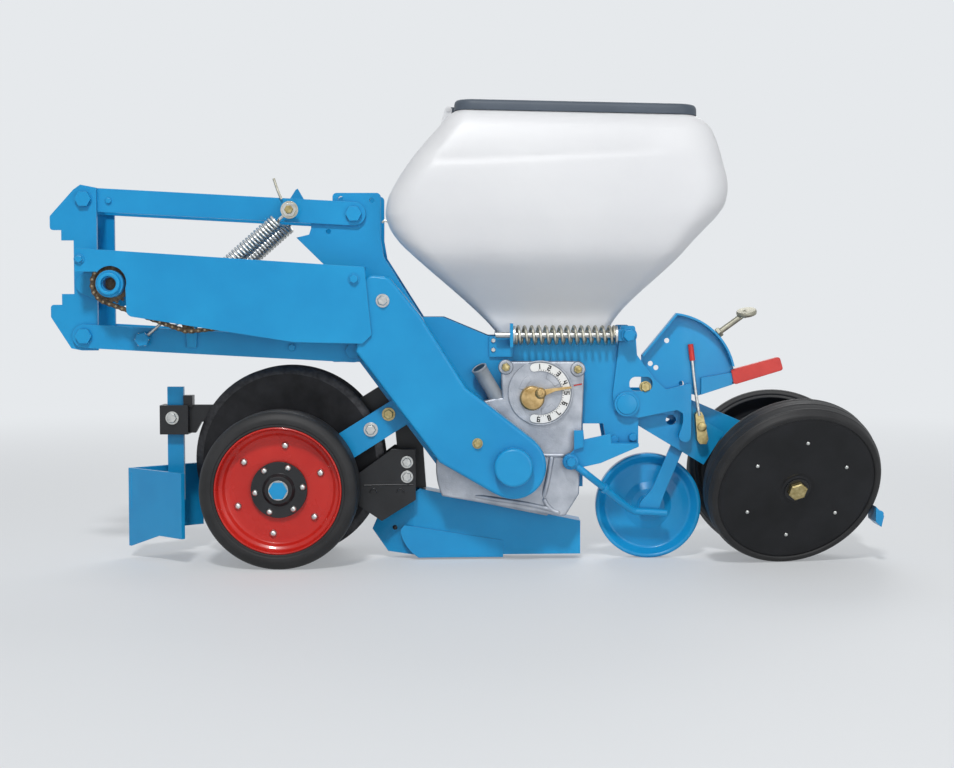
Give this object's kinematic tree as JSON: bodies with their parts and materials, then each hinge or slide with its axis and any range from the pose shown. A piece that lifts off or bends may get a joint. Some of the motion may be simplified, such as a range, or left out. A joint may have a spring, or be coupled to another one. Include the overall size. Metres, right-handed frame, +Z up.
{
  "type": "planter row unit",
  "caption": "Row unit of a pneumatic precision planter: toolbar head on a parallel linkage, seed hopper and meter, opener discs, gauge wheels and V press wheels.",
  "frame": {"origin": "ground point under the middle of the unit's box", "axes": "+Z up, +X rearwards against the travel, +Y to the machine's right"},
  "size_m": [1.624, 0.4264, 0.9007],
  "materials": {
    "blue_paint": "gloss powder coat",
    "black_paint": "satin",
    "red_paint": "gloss",
    "zinc_steel": "zinc plated",
    "disc_steel": "dark rolled",
    "chain_steel": "oiled",
    "hopper_plastic": "rotomoulded",
    "lid_plastic": "moulded",
    "meter_cast": "as cast",
    "dial_plastic": "printed",
    "selector_brass": "cast",
    "spout_plastic": "moulded",
    "tyre_rubber": "matt",
    "press_wheel_plastic": "moulded",
    "grip_plastic": "dipped",
    "latch_zinc": "yellow zinc"
  },
  "bodies": {
    "root": {"head_plates": "blue_paint", "toolbar_seat": "blue_paint", "upper_arms": "blue_paint", "lower_arms": "blue_paint", "linkage_pins": "blue_paint", "tension_springs": "zinc_steel", "spring_bolts": "zinc_steel", "drive_bearing": "blue_paint", "drive_chain": "chain_steel", "chain_sprockets": "chain_steel", "chain_cover": "blue_paint", "drive_case": "blue_paint", "frame_plate_left": "blue_paint", "frame_plate_right": "blue_paint", "frame_cross": "blue_paint", "hopper": "hopper_plastic", "meter_body": "meter_cast", "meter_door": "meter_cast", "meter_cover": "meter_cast", "meter_dial": "dial_plastic", "selector_knob": "selector_brass", "vacuum_spout": "spout_plastic", "seed_shoe": "blue_paint", "disc_guards": "black_paint", "disc_carrier": "black_paint", "gauge_arm_left": "blue_paint", "gauge_arm_right": "blue_paint", "cleaner_clamp": "black_paint", "cleaner_shank": "blue_paint", "cleaner_blade": "blue_paint", "rear_arm_plates": "blue_paint", "press_beam": "blue_paint", "scrapers": "blue_paint", "press_springs": "zinc_steel", "press_spring_rods": "zinc_steel", "spring_brackets": "blue_paint", "depth_sector": "blue_paint", "depth_crank": "zinc_steel", "depth_lever": "blue_paint", "lever_grip": "grip_plastic", "latch_lever": "latch_zinc", "seed_wheel_arm": "blue_paint", "tie_bracket": "blue_paint", "tie_rod": "blue_paint"},
    "hopper_lid": {"hopper_lid": "lid_plastic"},
    "seed_press_wheel": {"seed_press_wheel": "blue_paint"},
    "gauge_wheel_left": {"gauge_tyre_left": "tyre_rubber", "gauge_rim_left": "red_paint", "gauge_hub_left": "black_paint"},
    "opener_disc_left": {"opener_disc_left": "disc_steel"},
    "press_wheel_left": {"press_tyre_left": "tyre_rubber", "press_rim_left": "press_wheel_plastic"},
    "gauge_wheel_right": {"gauge_tyre_right": "tyre_rubber", "gauge_rim_right": "red_paint", "gauge_hub_right": "black_paint"},
    "opener_disc_right": {"opener_disc_right": "disc_steel"},
    "press_wheel_right": {"press_tyre_right": "tyre_rubber", "press_rim_right": "press_wheel_plastic"}
  },
  "joints": [
    {"name": "lid_hinge", "type": "hinge", "parent": "root", "child": "hopper_lid", "pos_m": [-0.038, 0, 0.887], "axis": [0, -1, 0], "range_deg": [0, 100]},
    {"name": "seed_press_wheel_spin", "type": "hinge", "parent": "root", "child": "seed_press_wheel", "pos_m": [0.361, 0, 0.105], "axis": [0, 1, 0], "continuous": true},
    {"name": "gauge_wheel_left_spin", "type": "hinge", "parent": "root", "child": "gauge_wheel_left", "pos_m": [-0.362, -0.125, 0.1525], "axis": [0, 1, 0], "continuous": true},
    {"name": "opener_disc_left_spin", "type": "hinge", "parent": "root", "child": "opener_disc_left", "pos_m": [-0.355, -0.025, 0.196], "axis": [-0.0905, -0.9945, -0.0523], "continuous": true},
    {"name": "press_wheel_left_spin", "type": "hinge", "parent": "root", "child": "press_wheel_left", "pos_m": [0.629, -0.11, 0.16441], "axis": [0.1561, -0.8851, -0.4384], "continuous": true},
    {"name": "gauge_wheel_right_spin", "type": "hinge", "parent": "root", "child": "gauge_wheel_right", "pos_m": [-0.362, 0.125, 0.1525], "axis": [0, 1, 0], "continuous": true},
    {"name": "opener_disc_right_spin", "type": "hinge", "parent": "root", "child": "opener_disc_right", "pos_m": [-0.355, 0.025, 0.196], "axis": [-0.0905, 0.9945, -0.0523], "continuous": true},
    {"name": "press_wheel_right_spin", "type": "hinge", "parent": "root", "child": "press_wheel_right", "pos_m": [0.629, 0.11, 0.16441], "axis": [0.1561, 0.8851, -0.4384], "continuous": true}
  ]
}
